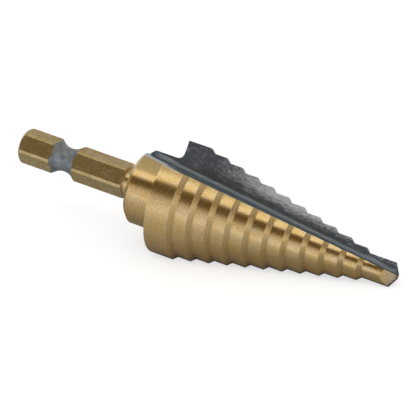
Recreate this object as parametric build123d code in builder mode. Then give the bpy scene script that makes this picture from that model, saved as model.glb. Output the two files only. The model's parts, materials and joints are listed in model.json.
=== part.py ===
"""Step drill: twelve ground diameters from 3/16 to 7/8 inch on a 1/4 inch hex quick-change shank.

The drill is one piece of hardened high-speed steel with two straight flutes. It is shaped along
its own axis, from the rear end of the shank at X = 0 to the point, with its two cutting edges in
the XZ plane and its flutes facing -Y above and +Y below. Then it is laid down as it comes to rest:
on two corners of its largest step and one corner of its smallest step, with the shank in the air.
Lengths are in millimetres and angles in degrees.
"""

import os
from math import hypot, radians, tan

from build123d import *

# Steps, counted from the largest.
step_count = 12
largest_diameter = 22.225  # 7/8 inch
diameter_step = 1.5875  # 1/16 inch between neighbours
step_pitch = 3.53  # from one front corner to the next
largest_land = 4.85  # length of the largest step
smallest_land = 5.35  # length of the smallest step, which starts the hole
shoulder_angle = 42.0  # of the cutting shoulders against the axis
largest_relief = 0.9  # fall of the largest land, a quarter turn behind its cutting edge
smallest_relief = 0.25  # the same for the smallest land
foot_radius = 0.2  # fillet at the foot of each shoulder

# Flutes.
flute_rise = 6.45  # slope of the flute's floor against the axis
flute_angle = 93.0  # between the cutting face and the floor
half_web = 0.35  # height of the floor above the axis where the point begins

# Point.
point_angle = 118.0  # between the two lips
lip_relief = 18.0  # fall of the narrow facet behind each lip
lip_facet = 0.8  # width of that facet
heel_relief = 64.0  # fall of the flank behind it
notch_depth = 0.25  # of the split in the chisel edge, along the axis
notch_reach = 0.3  # of the split past the middle of the web
notch_angle = 22.0  # fall of the split's floor

# Collar and neck.
collar_diameter = 14.6
collar_length = 6.5
collar_chamfer = 0.8
collar_fillet = 1.2  # where the collar meets the back of the largest step
neck_diameter = 6.2
neck_length = 2.0
neck_overlap = 0.5  # of the neck into the shank and into the collar, which it is one piece with

# Hex shank, with the ball groove of a quick-change chuck.
shank_flats = 6.35  # 1/4 inch across flats
shank_corners = 7.0  # diameter of the turned bar, left on the six corners
shank_length = 23.1
shank_turn = 4.0  # of the flats against the cutting edges
shank_chamfer = 0.55  # turned on both ends of the hexagon, and the depth of their centres
groove_diameter = 4.7
groove_centre = 9.5  # from the rear end
groove_radius = 3.5  # of the groove's hollow profile

# Stations along the axis and radii that follow from these sizes.
collar_rear = shank_length + neck_length
cone_rear = collar_rear + collar_length
shoulder_length = diameter_step / 2 / tan(radians(shoulder_angle))
front_corners = [cone_rear + largest_land + step * step_pitch for step in range(step_count - 1)]
point_start = front_corners[-1] + shoulder_length + smallest_land
cutting_radii = [(largest_diameter - step * diameter_step) / 2 for step in range(step_count)]
lip_slope = 1 / tan(radians(point_angle / 2))
point_end = point_start + cutting_radii[-1] * lip_slope
floor_fall = tan(radians(flute_angle - 90))
floor_slope = tan(radians(flute_rise))
runout = 1.0  # by which cutting tools pass the ends of what they cut

# Directions of the drill: along its axis, up one cutting edge, and out over that edge's flute.
forward = Vector(1, 0, 0)
edge_up = Vector(0, 0, 1)
flute_side = Vector(0, -1, 0)


def relief(station):
    """How far from the drill's axis a land has its centre: less and less towards the point."""
    along = (station - front_corners[0]) / (point_start - front_corners[0])
    return largest_relief + (smallest_relief - largest_relief) * along


def cam_radius(step, station):
    """Radius of a land about its own centre, with its cutting edge at its full radius."""
    return hypot(cutting_radii[step], relief(station))


def stepped_outline():
    """Corners of the steps along one side, from behind the largest step to beyond the point."""
    corners = [(cone_rear - runout, cam_radius(0, cone_rear))]
    for step, front in enumerate(front_corners):
        foot = front + shoulder_length
        corners.append((front, cam_radius(step, front)))
        corners.append((foot, cam_radius(step + 1, foot)))
    corners.append((point_end + runout, cam_radius(step_count - 1, point_start)))
    return corners


with BuildPart() as cutting_head:
    # Cam relief: the lands are what two stepped bodies share, each turned about an axis a little
    # to one side of the drill's own, so they fall away from the two cutting edges. The axes lean
    # in towards the point, which also sets the shoulders back behind their cutting edges.
    for side in (1, -1):
        cam_start = flute_side * side * relief(0)
        cam_end = forward * point_end + flute_side * side * relief(point_end)
        cam_axis = Axis(cam_start, cam_end - cam_start)
        outline = stepped_outline()
        with BuildSketch(Plane(cam_start, cam_axis.direction, cam_axis.direction.cross(edge_up))):
            with BuildLine():
                FilletPolyline(*outline, radius=[0, foot_radius] * (step_count - 1))
                Polyline(outline[-1], (outline[-1][0], 0), (outline[0][0], 0), outline[0])
            make_face()
        revolve(axis=cam_axis, mode=Mode.ADD if side == 1 else Mode.INTERSECT)
    split(bisect_by=Plane(origin=forward * cone_rear, z_dir=forward))

    # The collar stays round, with a fillet up the back of the largest step.
    collar_radius = collar_diameter / 2
    with BuildSketch(Plane.XZ):
        with BuildLine():
            Polyline(
                (cone_rear, collar_radius + collar_fillet),
                (cone_rear + largest_land / 2, collar_radius + collar_fillet),
                (cone_rear + largest_land / 2, 0),
                (collar_rear, 0),
                (collar_rear, collar_radius - collar_chamfer),
                (collar_rear + collar_chamfer, collar_radius),
                (cone_rear - collar_fillet, collar_radius),
            )
            TangentArc(
                (cone_rear - collar_fillet, collar_radius),
                (cone_rear, collar_radius + collar_fillet),
                tangent=(1, 0),
            )
        make_face()
    revolve(axis=Axis.X)

    # Two straight flutes run from the point out through the back of the collar. Each is a corner
    # between a radial cutting face and a floor that rises towards the shank.
    reach = largest_diameter
    for side in (1, -1):
        run = (forward - edge_up * side * floor_slope).normalized()
        across = (edge_up * side + forward * floor_slope).normalized()
        root_at_point = forward * point_start + edge_up * side * half_web
        section_start = root_at_point + run * (point_end - point_start + runout)
        with BuildSketch(Plane(origin=section_start, x_dir=across, z_dir=run)):
            with BuildLine():
                Polyline((0, 0), (reach, 0), (reach, reach), (-reach * floor_fall, reach), close=True)
            make_face()
        length = point_end - collar_rear + reach * floor_slope + runout * 2
        extrude(amount=-length, mode=Mode.SUBTRACT)

    # Each half of the point has a narrow facet behind its lip and a steeper flank behind that.
    for side in (1, -1):
        facet_heel = Vector(point_end - lip_facet * tan(radians(lip_relief)), 0, 0)
        facet_heel += flute_side * side * lip_facet
        for fall, start in ((lip_relief, forward * point_end), (heel_relief, facet_heel)):
            normal = forward - edge_up * side * lip_slope + flute_side * side * tan(radians(fall))
            split(bisect_by=Plane(origin=start, z_dir=normal), keep=Keep.BOTTOM)

    # The split shortens the chisel edge and carries each lip on towards the middle.
    notch_fall = tan(radians(notch_angle))
    notch_width = cutting_radii[-1]
    for side in (1, -1):
        start = edge_up * side * -notch_reach
        with BuildSketch(Plane(origin=start, x_dir=forward, z_dir=edge_up * side)):
            with BuildLine():
                Polyline(
                    (point_end - notch_depth, 0),
                    (point_end + runout, 0),
                    (point_end + runout, -notch_width),
                    (point_end - notch_depth - notch_width * notch_fall, -notch_width),
                    close=True,
                )
            make_face()
        extrude(amount=cutting_radii[-1] + notch_reach, mode=Mode.SUBTRACT)

with BuildPart() as shank:
    # The bar's round corners stay between the six flats.
    with BuildSketch(Plane(origin=(0, 0, 0), x_dir=flute_side, z_dir=forward)):
        RegularPolygon(shank_flats / 2, 6, major_radius=False, rotation=30 - shank_turn)
        Circle(shank_corners / 2, mode=Mode.INTERSECT)
    extrude(amount=shank_length)
    # Both ends are chamfered and centre-drilled. The neck fills the front centre but for its tip.
    with BuildSketch(Plane.XZ) as turned_bar:
        Rectangle(shank_length, shank_corners / 2, align=(Align.MIN, Align.MIN))
        chamfer(turned_bar.vertices(), shank_chamfer)
    revolve(axis=Axis.X, mode=Mode.INTERSECT)
    with BuildSketch(Plane.XZ):
        with Locations((groove_centre, groove_diameter / 2 + groove_radius)):
            Circle(groove_radius)
    revolve(axis=Axis.X, mode=Mode.SUBTRACT)
    with BuildSketch(Plane(origin=forward * (shank_length - neck_overlap), z_dir=forward)):
        Circle(neck_diameter / 2)
    extrude(amount=neck_length + neck_overlap * 2)

with BuildPart() as step_drill:
    add(cutting_head.part)
    add(shank.part)

# The drill rests on three corners: the largest step's cutting corner and heel corner on either
# side of the lower flute, and the smallest step's cutting corner.
near = shoulder_length / 2
corners = step_drill.vertices()
large_corners = corners.filter_by_position(Axis.X, front_corners[0] - near, front_corners[0] + near)
small_corners = corners.filter_by_position(Axis.X, point_start - near, point_start + near)
large_corner = Vector(large_corners.sort_by(Axis.Z)[0])
heel_corner = Vector(large_corners.sort_by(Axis.Y)[-1])
small_corner = Vector(small_corners.sort_by(Axis.Z)[0])
upright = (small_corner - large_corner).cross(heel_corner - large_corner)
table = Plane(origin=large_corner, x_dir=forward, z_dir=upright)
laid_down = table.to_local_coords(step_drill.part)
footprint = laid_down.bounding_box()
centred = Location((-footprint.center().X, -footprint.center().Y, -footprint.min.Z))
step_drill.part = laid_down.moved(centred)

step_drill.part.label = "step_drill"
os.makedirs("parts", exist_ok=True)
export_step(step_drill.part, "parts/step_drill.step")
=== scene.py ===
# %% [markdown]
# # A step drill, from bare solid to finished steel
#
# A step drill is one bar of high-speed steel. Its cone, collar and hexagonal shank are turned and
# ground, the whole drill is coated with gold titanium nitride, and the two flutes are ground last,
# so they cut through the coating and show bare steel. The solid comes from the CAD model and keeps
# its shape here. What is left to make is where each finish begins, how each one was made, and a
# small studio to see them in. Everything is in metres, in the CAD model's own frame.

import json
from math import cos, hypot, pi, radians, sin, tan

import bpy
from mathutils import Matrix, Vector

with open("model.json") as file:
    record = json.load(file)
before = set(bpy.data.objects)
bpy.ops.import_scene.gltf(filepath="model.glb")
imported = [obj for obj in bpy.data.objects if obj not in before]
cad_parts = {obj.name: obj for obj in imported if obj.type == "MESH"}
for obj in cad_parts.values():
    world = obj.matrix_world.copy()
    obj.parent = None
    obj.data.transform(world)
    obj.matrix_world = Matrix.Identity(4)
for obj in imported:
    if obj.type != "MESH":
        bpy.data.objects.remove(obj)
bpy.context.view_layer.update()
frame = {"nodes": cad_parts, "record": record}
drill = frame["nodes"]["step_drill"]
mm = 0.001
print("The drill's mesh has", len(drill.data.polygons), "triangles")

# %% [markdown]
# ## The drill's own directions
#
# The drill lies at a slant, so grinding marks and lights are easier to place in its own frame:
# along its axis, up one cutting edge, and out over that edge's flute. The shank's flat end is a
# mount of the part, which gives the axis. The lands fall away behind the cutting edges, so the
# points that are farthest from the axis are the two outer cutting corners. The higher one points up
# the edge.

# %% Axis, cutting edge and flute side
shank_end = next(m for m in frame["record"]["mounts"] if m["name"] == "shank_end")
rear = Vector(shank_end["pos_m"])
forward = -Vector(shank_end["axis"]).normalized()


def off_axis(point):
    """The part of a point's place that is square to the drill's axis."""
    return (point - rear) - forward * (point - rear).dot(forward)


corners = sorted((v.co for v in drill.data.vertices), key=lambda p: off_axis(p).length)[-8:]
edge_up = off_axis(max(corners, key=lambda p: p.z)).normalized()
flute_side = forward.cross(edge_up)
print("Largest radius", round(off_axis(corners[-1]).length / mm, 3), "mm")


def in_drill(point):
    """A point of the model in the drill's own frame, in millimetres: along, up the edge, out."""
    place = (point - rear) / mm
    return place.dot(forward), place.dot(edge_up), place.dot(flute_side)


# %% [markdown]
# ## Where the finishes begin
#
# A maker's finish follows the tool that made it. The mesh came from the CAD model face by face, so
# each polygon can be asked which cut it belongs to, from its place and the way it faces. What lies
# in the cutting edges' plane and faces out is a cutting face, and what faces up from the sloping
# floor belongs to the same flute: one wheel ground both. The hollow groove in the hexagon was
# turned after coating. All the rest is coated.

# %% Sorting the polygons by how they were cut
COATED, FLUTE, GROOVE = "coated", "flute", "groove"
floor_rise = tan(radians(6.45))  # towards the shank
floor_fall = tan(radians(3))  # away from the cutting face
point_start = 77.98
half_web = 0.35
floor_at_rear = half_web + point_start * floor_rise
groove_centre = 9.5
groove_floor = 2.35
groove_radius = 3.5
seam = 0.05  # how far a polygon may lie from the cut that it belongs to
face_squareness, floor_squareness, groove_squareness = 0.99, 0.98, 0.9  # cosines


def finish_of(polygon):
    """The name of the finish that this polygon has."""
    along, up, out = in_drill(polygon.center)
    facing_up = polygon.normal.dot(edge_up)
    facing_out = polygon.normal.dot(flute_side)
    for side in (1, -1):
        above_floor = up * side + out * side * floor_fall + along * floor_rise - floor_at_rear
        on_cutting_face = abs(out) < seam and facing_out * side > face_squareness
        on_floor = abs(above_floor) < seam and facing_up * side > floor_squareness
        if on_cutting_face or (on_floor and out * side > 0):
            return FLUTE
    radius = hypot(up, out)
    outwards = (edge_up * up + flute_side * out) / radius
    to_centre = forward * (groove_centre - along)
    to_centre += outwards * (groove_floor + groove_radius - radius)
    on_profile = abs(to_centre.length - groove_radius) < seam
    if on_profile and to_centre.normalized().dot(polygon.normal) > groove_squareness:
        return GROOVE
    return COATED


finishes = [COATED, FLUTE, GROOVE]
found = [finish_of(polygon) for polygon in drill.data.polygons]
print({name: found.count(name) for name in finishes})

# %% [markdown]
# ## Tools for materials
#
# Colours are easiest to judge as the hex values of a paint chart, and Blender wants them linear, so
# one function turns one into the other. One more adds a node with its settings and its links. An
# input takes a plain value, a socket, or a node, which then stands for its first output.

# %% Colour and node helpers
def linear(hex_colour):
    """A colour such as "#E6C27A" as the linear red, green, blue and alpha that shaders use."""
    channels = [int(hex_colour[i:i + 2], 16) / 255 for i in (1, 3, 5)]
    return [c / 12.92 if c <= 0.04045 else ((c + 0.055) / 1.055) ** 2.4 for c in channels] + [1.0]


def add_node(tree, kind, settings=None, **inputs):
    """Adds a node. _ in an input's name stands for a space, and _0 is the first input."""
    node = tree.nodes.new(kind)
    for name, value in (settings or {}).items():
        setattr(node, name, value)
    for name, value in inputs.items():
        key = int(name[1:]) if name[1:].isdigit() else name.replace("_", " ")
        if isinstance(value, bpy.types.Node):
            value = value.outputs[0]
        if isinstance(value, bpy.types.NodeSocket):
            tree.links.new(value, node.inputs[key])
        else:
            node.inputs[key].default_value = value
    return node


# %% A material with one shader
def new_material(name, **shader):
    """A material with one principled shader, its tree to add a pattern to, and the shader."""
    material = bpy.data.materials.new(name)
    material.use_nodes = True
    tree = material.node_tree
    tree.nodes.clear()
    surface = add_node(tree, "ShaderNodeBsdfPrincipled", **shader)
    add_node(tree, "ShaderNodeOutputMaterial", Surface=surface)
    return material, tree, surface


def finish_surface(tree, surface, colour, roughness, normal):
    """Joins what a material has worked out to its shader."""
    tree.links.new(colour, surface.inputs["Base Color"])
    tree.links.new(roughness.outputs[0], surface.inputs["Roughness"])
    tree.links.new(normal.outputs[0], surface.inputs["Normal"])


# %% [markdown]
# ## The drill's coordinates
#
# Grinding marks run round the axis on what was turned, and in arcs on what was ground flat. Both
# need the drill's own coordinates, so a few vector nodes work them out from the object's: distance
# along the axis, up the cutting edge and out, in millimetres. A grain is then noise over these
# coordinates, each divided by the size of the grain in its direction.

# %% Coordinates
def drill_coordinates(tree):
    """Sockets with a point's millimetres along the axis, up the cutting edge and out."""
    place = add_node(tree, "ShaderNodeTexCoord").outputs["Object"]
    from_rear = add_node(tree, "ShaderNodeVectorMath", {"operation": "SUBTRACT"}, _0=place, _1=rear)
    return [add_node(tree, "ShaderNodeVectorMath", {"operation": "DOT_PRODUCT"},
                     _0=from_rear, _1=direction / mm).outputs["Value"]
            for direction in (forward, edge_up, flute_side)]


def height_above_root(tree, along, up):
    """How far a point is above the nearer flute's root, square to the axis, in millimetres."""
    height = add_node(tree, "ShaderNodeMath", {"operation": "ABSOLUTE"}, _0=up)
    height = add_node(tree, "ShaderNodeMath", {"operation": "MULTIPLY_ADD"},
                      _0=along, _1=floor_rise, _2=height)
    return add_node(tree, "ShaderNodeMath", {"operation": "SUBTRACT"}, _0=height, _1=floor_at_rear)


# %% Grain and tint
noise_range = (0.3, 0.7)  # nearly all of a noise lies between these


def grain_of(tree, place, sizes, detail):
    """Noise from 0 to 1, at a place of three sockets, with the grain's size along each."""
    x, y, z = [add_node(tree, "ShaderNodeMath", {"operation": "DIVIDE"}, _0=socket, _1=size)
               for socket, size in zip(place, sizes)]
    vector = add_node(tree, "ShaderNodeCombineXYZ", X=x, Y=y, Z=z)
    return add_node(tree, "ShaderNodeTexNoise", Vector=vector, Scale=1.0, Detail=detail)


def even_grain(tree, place, size, detail):
    """The same with grains of one size in all directions."""
    return grain_of(tree, place, (size, size, size), detail)


def tint(tree, value, start, end, first, second):
    """A colour that goes from the first to the second as the value goes from start to end."""
    factor = add_node(tree, "ShaderNodeMapRange", Value=value, From_Min=start, From_Max=end)
    first, second = [linear(c) if isinstance(c, str) else c for c in (first, second)]
    return add_node(tree, "ShaderNodeMix", {"data_type": "RGBA"},
                    _0=factor, _6=first, _7=second).outputs[2]


# %% [markdown]
# ## Titanium nitride on ground steel
#
# The coating is two or three thousandths of a millimetre thick, so it has no shape of its own. It
# takes the grinding marks of the steel under it and adds its colour, a warm yellow metal, and a
# fine grain that spreads the light. The marks run round the axis, so their noise is squeezed along
# it and stretched across it. They are a few hundredths of a millimetre apart on a real drill, too
# fine to show, so the rings are drawn 0.12 mm apart and the grain is 0.2 mm. On the shank the
# coating is thinner and the steel pales it.

# %% The coating's colour
# Stations along the axis, in millimetres, where a change starts and where it is complete.
thin_start, thin_end = 25.6, 23.4  # the coating on the shank
worn_start, worn_end = 76.6, 78.4  # the wear of the point


def coating_colour(tree, place, grain):
    """Gold with a fine speckle, in patches, and paler on the shank and on the point."""
    along = place[0]
    clouds = even_grain(tree, place, size=2.2, detail=2.0)
    gold = tint(tree, grain, *noise_range, "#CC9F52", "#FBE6B2")
    patches = tint(tree, clouds, *noise_range, "#D8C29A", "#DBA84A")
    gold = add_node(tree, "ShaderNodeMix", {"data_type": "RGBA"},
                    _0=0.35, _6=gold, _7=patches).outputs[2]
    specks = even_grain(tree, place, size=0.5, detail=3.0)
    pale = tint(tree, clouds, *noise_range, "#D9C08A", "#F3E4BE")
    pale = tint(tree, specks, 0.35, 0.65, "#D2B370", pale)
    worn = tint(tree, grain, 0.35, 0.65, "#CBA97C", "#E6D5BE")
    colour = tint(tree, along, thin_start, thin_end, gold, pale)
    return tint(tree, along, worn_start, worn_end, colour, worn)


# %% [markdown]
# ## Wear of the coating, and painted light and shade at its corners
#
# It wears first where it is thin, at the cutting edges, where it is gone. Along every sharp corner
# it is painted paler, as a painted highlight for the light that a rounded corner would catch. A
# bevel node finds the corners, because there its rounded normal and the true one disagree. The feet
# of the steps are painted darker, as painted shade, where an occlusion node finds the surface
# closing in.
# Beside the flute, the wheel broke the coating on the collar and left a bright lip.

# %% Wear, and painted highlight and shade at corners
collar_rear = 25.0
lip_start, lip_end = 37.0, 34.0
# How far from a corner the painted highlight reaches, in millimetres.
corner_highlight_radius = 0.18
# How far the occlusion looks for the painted shade in the feet, in millimetres.
painted_shade_reach = 0.7
raggedness = 0.3


def painted_corner_highlight_and_shade(tree, colour):
    """Painted highlight where a bevel would turn the surface, and painted shade where it closes in.
    """
    rounded = add_node(tree, "ShaderNodeBevel", {"samples": 6}, Radius=corner_highlight_radius * mm)
    true_normal = add_node(tree, "ShaderNodeNewGeometry").outputs["Normal"]
    agreement = add_node(tree, "ShaderNodeVectorMath", {"operation": "DOT_PRODUCT"},
                         _0=rounded, _1=true_normal).outputs["Value"]
    # Painted highlight: a paler colour along every sharp corner.
    colour = tint(tree, agreement, 0.99, 0.88, colour, "#F6E6C2")
    # Painted shade: a darker brown in the feet of the steps and in other creases.
    openness = add_node(tree, "ShaderNodeAmbientOcclusion", {"samples": 8},
                        Distance=painted_shade_reach * mm).outputs["AO"]
    return tint(tree, openness, 0.97, 0.62, colour, "#84602A")


def bare_edges(tree, out, grain, on_shank, colour):
    """Bare steel half a millimetre wide along the cutting edges, with a ragged border."""
    from_edge = add_node(tree, "ShaderNodeMath", {"operation": "ABSOLUTE"}, _0=out)
    from_edge = add_node(tree, "ShaderNodeMath", {"operation": "MULTIPLY_ADD"},
                         _0=grain, _1=raggedness, _2=from_edge)
    from_edge = add_node(tree, "ShaderNodeMath", {"operation": "ADD"}, _0=from_edge, _1=on_shank)
    return tint(tree, from_edge, 0.65, 0.45, colour, "#8A8F96")


def bright_lip(tree, place, on_shank, colour):
    """Bright steel on the collar, beside the floor of each flute."""
    along, up, out = place
    beside = add_node(tree, "ShaderNodeMapRange", Value=height_above_root(tree, along, up),
                      From_Min=-0.75, From_Max=-0.45)
    near_rear = add_node(tree, "ShaderNodeMapRange", Value=along,
                         From_Min=lip_start, From_Max=lip_end)
    side = add_node(tree, "ShaderNodeMath", {"operation": "SIGN"}, _0=up)
    floor_side = add_node(tree, "ShaderNodeMath", {"operation": "MULTIPLY", "use_clamp": True},
                          _0=out, _1=side)
    lip = add_node(tree, "ShaderNodeMath", {"operation": "MULTIPLY"}, _0=beside, _1=near_rear)
    lip = add_node(tree, "ShaderNodeMath", {"operation": "MULTIPLY"}, _0=lip, _1=floor_side)
    lip = add_node(tree, "ShaderNodeMath", {"operation": "SUBTRACT"}, _0=lip, _1=on_shank)
    return tint(tree, lip, 0.0, 1.0, colour, "#DFE3EA")


# %% The coating's material
def titanium_nitride():
    """The gold coating, with turned rings and a fine grain."""
    material, tree, surface = new_material("titanium_nitride_on_ground_steel", Metallic=1.0)
    along, up, out = drill_coordinates(tree)
    place = (along, up, out)
    rings = grain_of(tree, place, sizes=(0.12, 2.0, 2.0), detail=3.0)
    grain = even_grain(tree, place, size=0.2, detail=4.0)
    on_shank = add_node(tree, "ShaderNodeMath", {"operation": "LESS_THAN"},
                        _0=along, _1=collar_rear)
    # Painted highlight and painted shade at the corners, over the coating's colour.
    colour = painted_corner_highlight_and_shade(tree, coating_colour(tree, place, grain))
    colour = bare_edges(tree, out, grain, on_shank, colour)
    colour = bright_lip(tree, place, on_shank, colour)
    duller = add_node(tree, "ShaderNodeMapRange", Value=along, From_Min=thin_start,
                      From_Max=thin_end, To_Min=0.15, To_Max=0.22)
    roughness = add_node(tree, "ShaderNodeMath", {"operation": "MULTIPLY_ADD"},
                         _0=grain, _1=0.08, _2=duller)
    height = add_node(tree, "ShaderNodeMath", {"operation": "MULTIPLY_ADD"},
                      _0=rings, _1=0.5, _2=grain)
    bump = add_node(tree, "ShaderNodeBump", Strength=0.45, Distance=0.01 * mm, Height=height)
    finish_surface(tree, surface, colour, roughness, bump)
    return material


# %% [markdown]
# ## Bare steel in the flutes
#
# The flutes are ground through the coating. The side of the wheel leaves arcs about its centre on
# the cutting face, and a few deeper ones where it chattered behind the largest step. Towards the
# cutting edges the face was dressed once more and is brighter. The real arcs are as fine as hair
# and are drawn 0.14 mm apart, as coarse as they need to be to show.

# %% The cutting face
# Centres are along the axis and up the edge, in millimetres.
wheel_centre = (50.0, 27.0, 0.0)
chatter_centre = (34.6, 6.9, 0.0)
chatter_pitch = 0.5


def distance_from(tree, centre, along, height):
    """How far a point of the cutting face is from a centre on it."""
    place = add_node(tree, "ShaderNodeCombineXYZ", X=along, Y=height)
    return add_node(tree, "ShaderNodeVectorMath", {"operation": "DISTANCE"},
                    _0=place, _1=centre).outputs["Value"]


def chatter(tree, along, height, radius):
    """A few light arcs in a patch three millimetres across."""
    wave = add_node(tree, "ShaderNodeMath", {"operation": "MULTIPLY"},
                    _0=radius, _1=2 * pi / chatter_pitch)
    wave = add_node(tree, "ShaderNodeMath", {"operation": "SINE"}, _0=wave)
    from_patch = distance_from(tree, chatter_centre, along, height)
    fade = add_node(tree, "ShaderNodeMapRange", Value=from_patch,
                    From_Min=1.8, From_Max=0.6, To_Max=0.3)
    return add_node(tree, "ShaderNodeMath", {"operation": "MULTIPLY"}, _0=wave, _1=fade)


def face_tone(tree, place, above_root, arcs):
    """From 0, dark, to 1, bright: how the cutting face was dressed."""
    along, _, out = place
    outer = add_node(tree, "ShaderNodeMapRange", Value=above_root, From_Min=1.0, From_Max=3.2)
    middle = add_node(tree, "ShaderNodeMapRange", Value=along, From_Min=38.0, From_Max=51.0)
    dressed = add_node(tree, "ShaderNodeMath", {"operation": "MULTIPLY"}, _0=outer, _1=middle)
    patches = grain_of(tree, place, sizes=(0.9, 0.6, 0.6), detail=5.0)
    patches = add_node(tree, "ShaderNodeMapRange", Value=patches, From_Min=noise_range[0],
                       From_Max=noise_range[1], To_Min=-0.2, To_Max=0.2)
    tone = add_node(tree, "ShaderNodeMath", {"operation": "ADD"}, _0=dressed, _1=patches)
    strokes = grain_of(tree, (along, above_root, out), sizes=(4.5, 0.4, 0.4), detail=2.0)
    strokes = add_node(tree, "ShaderNodeMapRange", Value=strokes,
                       From_Min=0.42, From_Max=0.62, To_Max=-0.4)
    low = add_node(tree, "ShaderNodeMapRange", Value=above_root, From_Min=3.0, From_Max=1.4)
    tone = add_node(tree, "ShaderNodeMath", {"operation": "MULTIPLY_ADD"},
                    _0=strokes, _1=low, _2=tone)
    marks = add_node(tree, "ShaderNodeMapRange", Value=arcs,
                     From_Min=0.32, From_Max=0.68, To_Min=-0.5, To_Max=0.5)
    return add_node(tree, "ShaderNodeMath", {"operation": "MULTIPLY_ADD", "use_clamp": True},
                    _0=marks, _1=0.6, _2=tone)


# %% [markdown]
# ## The flutes' root
#
# The wheel's rounded corner leaves the root smooth and dark, with marks along it. The solid has a
# sharp corner there. Rounding it here would change the solid's shape, so the root's millimetre of
# rounding is shading: a bevel node bends the normals on both sides of it, and nowhere else.

# %% Root
root_radius = 1.0
root_edge = 0.85  # the rounding is complete from here inwards


def root_normal(tree, above_root, out):
    """Normals of a rounded root: a bevel's near the root, and the true ones elsewhere."""
    low = add_node(tree, "ShaderNodeMapRange", Value=above_root,
                   From_Min=root_radius, From_Max=root_edge)
    from_face = add_node(tree, "ShaderNodeMath", {"operation": "ABSOLUTE"}, _0=out)
    near_face = add_node(tree, "ShaderNodeMapRange", Value=from_face,
                         From_Min=root_radius, From_Max=root_edge)
    in_root = add_node(tree, "ShaderNodeMath", {"operation": "MULTIPLY"}, _0=low, _1=near_face)
    rounded = add_node(tree, "ShaderNodeBevel", {"samples": 12}, Radius=1.6 * root_radius * mm)
    true_normal = add_node(tree, "ShaderNodeNewGeometry").outputs["Normal"]
    return add_node(tree, "ShaderNodeMix", {"data_type": "VECTOR"},
                    _0=in_root, _4=true_normal, _5=rounded).outputs[1]


# %% The flutes' material
def ground_flute():
    """Bare ground steel: arcs on the cutting face, and a smooth root with marks along it."""
    material, tree, surface = new_material("ground_high_speed_steel_flute", Metallic=1.0)
    along, up, out = drill_coordinates(tree)
    place = (along, up, out)
    above_root = height_above_root(tree, along, up)
    height = add_node(tree, "ShaderNodeMath", {"operation": "ABSOLUTE"}, _0=up)
    radius = distance_from(tree, wheel_centre, along, height)
    arcs = grain_of(tree, (radius, along, up), sizes=(0.14, 1.4, 1.4), detail=4.0)
    lines = grain_of(tree, place, sizes=(5.0, 0.16, 0.16), detail=3.0)
    tone = add_node(tree, "ShaderNodeMath", {"operation": "ADD"},
                    _0=face_tone(tree, place, above_root, arcs),
                    _1=chatter(tree, along, height, radius))
    face = tint(tree, tone, 0.0, 1.0, "#798392", "#F2F6FC")
    root = tint(tree, lines, *noise_range, "#69727B", "#8D959D")
    colour = tint(tree, above_root, root_radius, root_edge, face, root)
    roughness = add_node(tree, "ShaderNodeMapRange", Value=tone, To_Min=0.28, To_Max=0.48)
    bump = add_node(tree, "ShaderNodeBump", Strength=0.5, Distance=0.03 * mm, Height=arcs,
                    Normal=root_normal(tree, above_root, out))
    finish_surface(tree, surface, colour, roughness, bump)
    return material


# %% [markdown]
# ## The turned groove
#
# The groove was turned with a blunt form tool after coating. Its marks run round the axis and tear
# the surface a little, so it is dull all over and has hardly a highlight.

# %% Groove
def turned_groove():
    """Dull turned steel, with a few paler patches."""
    material, tree, surface = new_material("turned_steel_groove", Metallic=1.0)
    place = drill_coordinates(tree)
    marks = grain_of(tree, place, sizes=(0.3, 1.5, 1.5), detail=3.0)
    patches = even_grain(tree, place, size=1.4, detail=2.0)
    colour = tint(tree, marks, *noise_range, "#868C92", "#A5AAAE")
    colour = tint(tree, patches, 0.4, 0.8, colour, "#BFC2C4")
    roughness = add_node(tree, "ShaderNodeMapRange", Value=marks, To_Min=0.46, To_Max=0.58)
    bump = add_node(tree, "ShaderNodeBump", Strength=0.4, Distance=0.015 * mm, Height=marks)
    finish_surface(tree, surface, colour, roughness, bump)
    return material


# %% [markdown]
# ## Three finishes on one mesh
#
# The drill is one mesh, so its materials sit in slots, and each polygon holds the number of its
# slot. The mesh could be cut up by finish instead, but then its borders would have to be kept
# together, and this way its shape isn't touched.

# %% Giving each polygon its finish
materials = {COATED: titanium_nitride(), FLUTE: ground_flute(), GROOVE: turned_groove()}
drill.data.materials.clear()
for name in finishes:
    drill.data.materials.append(materials[name])
for polygon, name in zip(drill.data.polygons, found):
    polygon.material_index = finishes.index(name)
    polygon.use_smooth = True
print("Materials:", [m.name for m in drill.data.materials])

# %% [markdown]
# ## The studio
#
# Polished metal shows what is around it, so the studio is part of its finish. The drill lies on a
# pale floor in a pale room. The floor fills the picture, so all that the camera sees around the
# drill is the floor, lifted to white, with the drill's shadow on it. In the metal, the floor shows
# painted shade close beside the drill.

# %% Floor
floor_size = 6.0
floor_gap = 0.02 * mm  # below the drill's three resting corners
white_lift = 0.64  # brings the lit floor to white
metal_lift = 0.22


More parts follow.
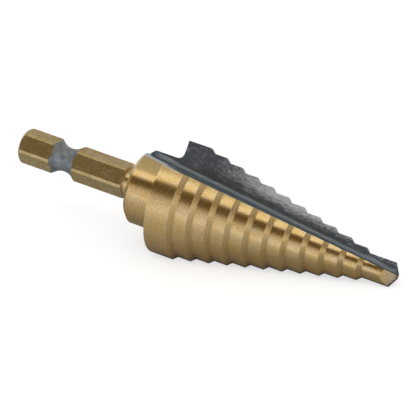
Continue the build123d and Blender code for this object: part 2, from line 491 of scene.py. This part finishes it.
def pale_floor():
    """A pale floor, lifted to white for the camera and a little for metal, with its shadow. Near
    the drill it has painted shade that only metal shows.
    """
    white = linear("#FFFFFF")
    material, tree, surface = new_material("pale_studio_floor", Roughness=0.9, Emission_Color=white)
    ray = add_node(tree, "ShaderNodeLightPath").outputs
    place = add_node(tree, "ShaderNodeTexCoord").outputs["Object"]
    place = add_node(tree, "ShaderNodeSeparateXYZ", Vector=place)
    aside = add_node(tree, "ShaderNodeMath", {"operation": "ABSOLUTE"}, _0=place.outputs["Y"])
    # Painted shade: seen in the metal, the floor's colour is darker close beside the drill.
    under = add_node(tree, "ShaderNodeMapRange", Value=aside, From_Min=20 * mm, From_Max=7 * mm)
    under = add_node(tree, "ShaderNodeMath", {"operation": "MULTIPLY"},
                     _0=under, _1=ray["Is Glossy Ray"])
    colour = tint(tree, under, 0.0, 1.0, "#ECEFF4", "#CCCED3")
    # Painted shade too: the floor's lift for metal fades out close beside the drill.
    beside = add_node(tree, "ShaderNodeMapRange", Value=aside,
                      From_Min=8 * mm, From_Max=70 * mm, To_Max=metal_lift)
    in_metal = add_node(tree, "ShaderNodeMath", {"operation": "MULTIPLY"},
                        _0=ray["Is Glossy Ray"], _1=beside)
    lift = add_node(tree, "ShaderNodeMath", {"operation": "MULTIPLY_ADD"},
                    _0=ray["Is Camera Ray"], _1=white_lift, _2=in_metal)
    tree.links.new(colour, surface.inputs["Base Color"])
    tree.links.new(lift.outputs[0], surface.inputs["Emission Strength"])
    return material


bpy.ops.mesh.primitive_plane_add(size=floor_size, location=(0, 0, -floor_gap))
floor = bpy.context.object
floor.name = "studio_floor"
floor.data.materials.append(pale_floor())
print("Floor", floor_size, "m square")

# %% [markdown]
# ## The room
#
# Walls could be built round the drill, but metal only needs their colours, so the world gives
# these by direction alone. Each wall is a row of stops, an angle above the horizon and a colour.
# In front, between the pale wall and the softbox, there is a dark gap, and gold that looks into it
# turns brown: that narrow band is what makes a coating look like metal.

# %% Room
front_wall = ((-10, "#F6F8FF"), (4, "#F0F3FF"), (15, "#E0E4F4"), (22, "#D6D8E2"), (29, "#BFBBBC"),
              (34, "#7A6C53"), (44, "#5A4B2F"), (55, "#645338"), (59, "#D2D1CC"), (90, "#C3C1B6"))
other_walls = ((-10, "#F2F3FA"), (0, "#ECECF2"), (6, "#D2CFCC"), (11, "#ADA69C"), (16, "#8E867B"),
               (23, "#B9B8B6"), (60, "#B7B6AE"), (90, "#C3C1B6"))
front = Vector((-0.34, -0.94, 0))


def wall(tree, angle, stops):
    """A wall's colour by its angle above the horizon, in degrees, from a list of stops."""
    lowest, highest = stops[0][0], stops[-1][0]
    factor = add_node(tree, "ShaderNodeMapRange", Value=angle, From_Min=lowest, From_Max=highest)
    ramp = add_node(tree, "ShaderNodeValToRGB", Fac=factor)
    elements = ramp.color_ramp.elements
    while len(elements) < len(stops):
        elements.new(1.0)
    for element, (degree, colour) in zip(elements, stops):
        element.position = (degree - lowest) / (highest - lowest)
        element.color = linear(colour)
    return ramp.outputs["Color"]


def studio_room():
    """A world with one wall in front of the drill and another kind all round."""
    world = bpy.data.worlds.new("studio_room")
    world.use_nodes = True
    tree = world.node_tree
    tree.nodes.clear()
    look = add_node(tree, "ShaderNodeTexCoord").outputs["Generated"]
    height = add_node(tree, "ShaderNodeSeparateXYZ", Vector=look).outputs["Z"]
    angle = add_node(tree, "ShaderNodeMath", {"operation": "ARCSINE"}, _0=height)
    angle = add_node(tree, "ShaderNodeMath", {"operation": "DEGREES"}, _0=angle)
    level = add_node(tree, "ShaderNodeVectorMath", {"operation": "MULTIPLY"},
                     _0=look, _1=(1, 1, 0))
    level = add_node(tree, "ShaderNodeVectorMath", {"operation": "NORMALIZE"}, _0=level)
    facing = add_node(tree, "ShaderNodeVectorMath", {"operation": "DOT_PRODUCT"},
                      _0=level, _1=front).outputs["Value"]
    around, ahead = wall(tree, angle, other_walls), wall(tree, angle, front_wall)
    walls = tint(tree, facing, 0.2, 0.7, around, ahead)
    room = add_node(tree, "ShaderNodeBackground", Color=walls, Strength=1.0)
    add_node(tree, "ShaderNodeOutputWorld", Surface=room)
    return world


bpy.context.scene.world = studio_room()
print("Room with", len(front_wall), "tones in front and", len(other_walls), "all round")

# %% [markdown]
# ## The softbox
#
# A softbox is a lamp behind a sheet of white cloth, and an area lamp does the same. Its size sets
# how broad it is in the metal and how soft the shadow is. It hangs above and in front of the drill
# and draws the bright band along the top of each land.

# %% Softbox
def softbox(name, centre, width, depth, brightness):
    """A rectangular lamp that faces down. With a brightness of 1, a mirror shows it white."""
    lamp = bpy.data.lights.new(name, "AREA")
    lamp.shape = "RECTANGLE"
    lamp.size, lamp.size_y = width, depth
    lamp.energy = brightness * pi * width * depth
    holder = bpy.data.objects.new(name, lamp)
    holder.location = centre
    holder.visible_camera = False
    bpy.context.scene.collection.objects.link(holder)
    print(name, "at", [round(c, 2) for c in centre], "m")


softbox("overhead_softbox", (-0.12, -0.23, 0.56), width=0.70, depth=0.21, brightness=0.50)

# %% [markdown]
# ## The camera
#
# A long lens from half a metre away keeps the steps nearly parallel. The camera looks square to the
# cutting edge's plane, with the drill's point turned towards it, and is rolled so that the drill
# slopes down to the right.

# %% Camera
picture = 416  # pixels across
scale = 5.32  # pixels in a millimetre of the drill
distance = 520  # in millimetres, as is the next one
aim_along = 39.75
aim_up = 1.4  # pixels
tilt, slope = radians(20.2), radians(19.5)
nearest, farthest = 0.01, 20
towards = sin(tilt) * forward + cos(tilt) * flute_side
level = cos(tilt) * forward - sin(tilt) * flute_side
right = cos(slope) * level + sin(slope) * edge_up
upwards = -sin(slope) * level + cos(slope) * edge_up
camera_data = bpy.data.cameras.new("camera")
camera_data.sensor_width = 36
camera_data.lens = camera_data.sensor_width * scale * distance / picture
camera = bpy.data.objects.new("camera", camera_data)
aim = rear + (forward * aim_along + upwards * aim_up / scale) * mm
camera.matrix_world = Matrix.Translation(aim + towards * distance * mm) @ Matrix(
    (right, upwards, towards)).transposed().to_4x4()
camera_data.clip_start, camera_data.clip_end = nearest, farthest
bpy.context.scene.collection.objects.link(camera)
bpy.context.scene.camera = camera
bpy.context.scene.view_settings.view_transform = "Standard"
print("Lens", round(camera_data.lens, 1), "mm")
